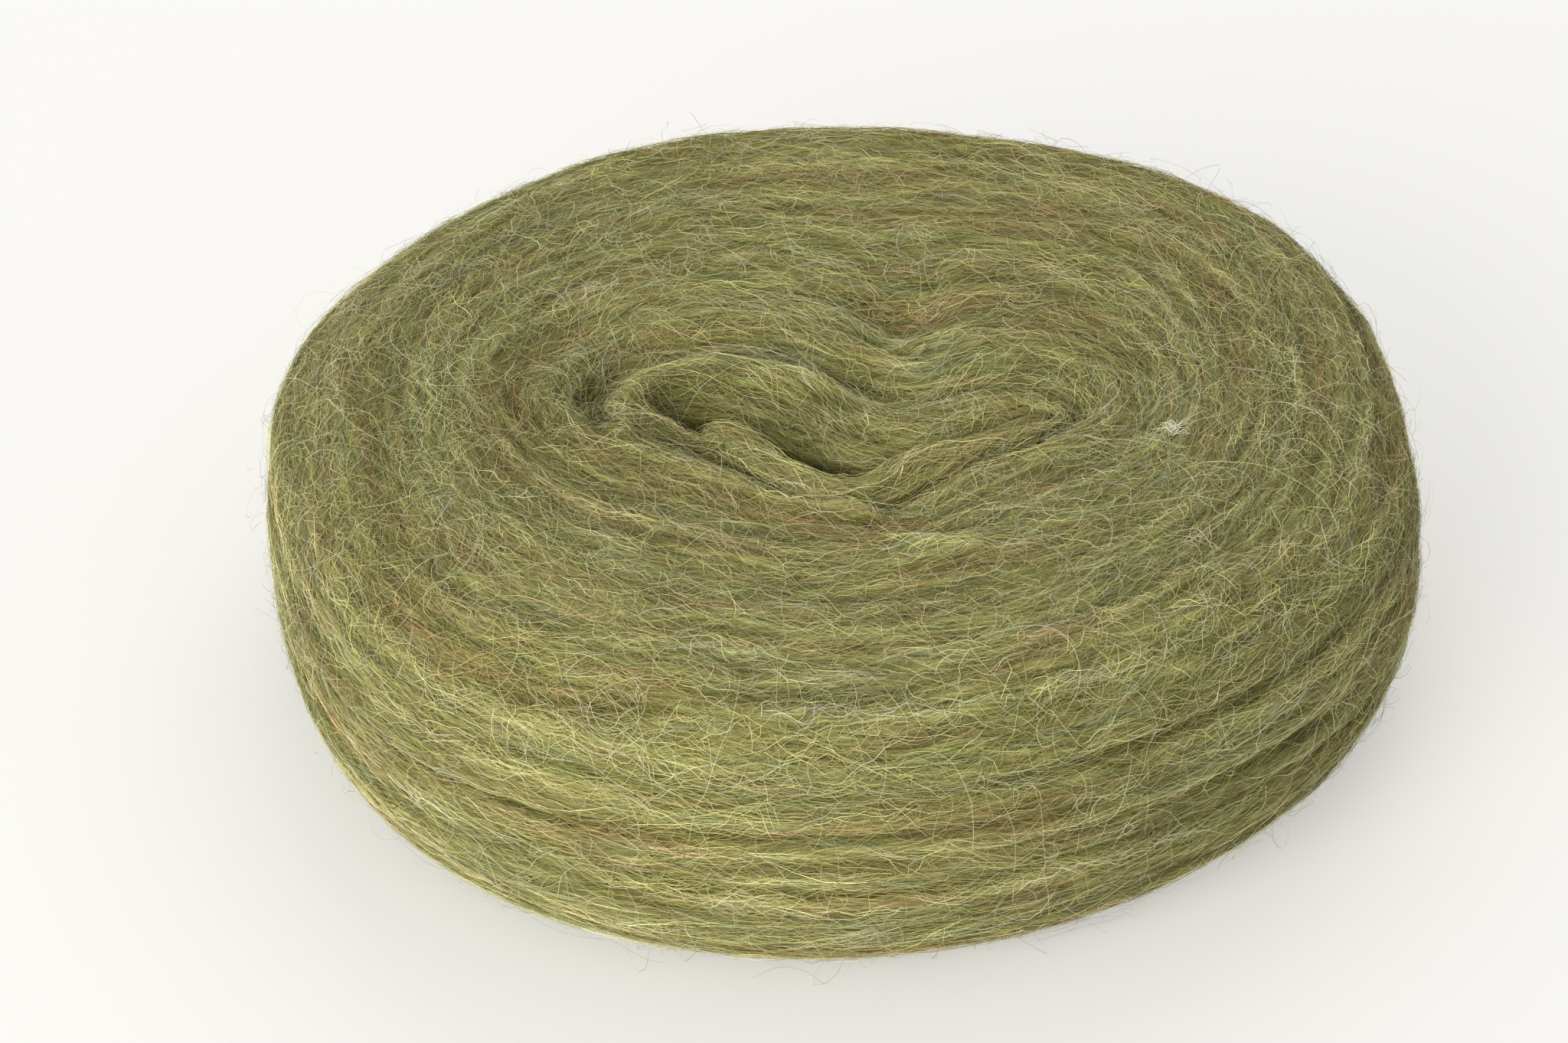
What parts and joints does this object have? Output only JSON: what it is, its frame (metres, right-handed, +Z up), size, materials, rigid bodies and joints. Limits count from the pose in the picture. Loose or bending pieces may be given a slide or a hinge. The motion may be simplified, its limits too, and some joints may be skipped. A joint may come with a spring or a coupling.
{
  "type": "plate of unspun wool roving",
  "caption": "Flat round plate of wound, unspun wool roving with a collapsed centre slot and a flat base.",
  "frame": {"origin": "centre of the flat base, on the surface that the plate rests on", "axes": "+Z up through the plate's thickness, -Y towards the picture's viewer, +X to the viewer's right along the centre slot"},
  "size_m": [0.1952, 0.2012, 0.0523],
  "materials": {
    "wool": "heathered olive green unspun wool, matt and hairy, with brown, grey and blue-green fibres and pale stray hairs"
  },
  "bodies": {
    "root": {"wound_wool": "wool"}
  },
  "joints": []
}
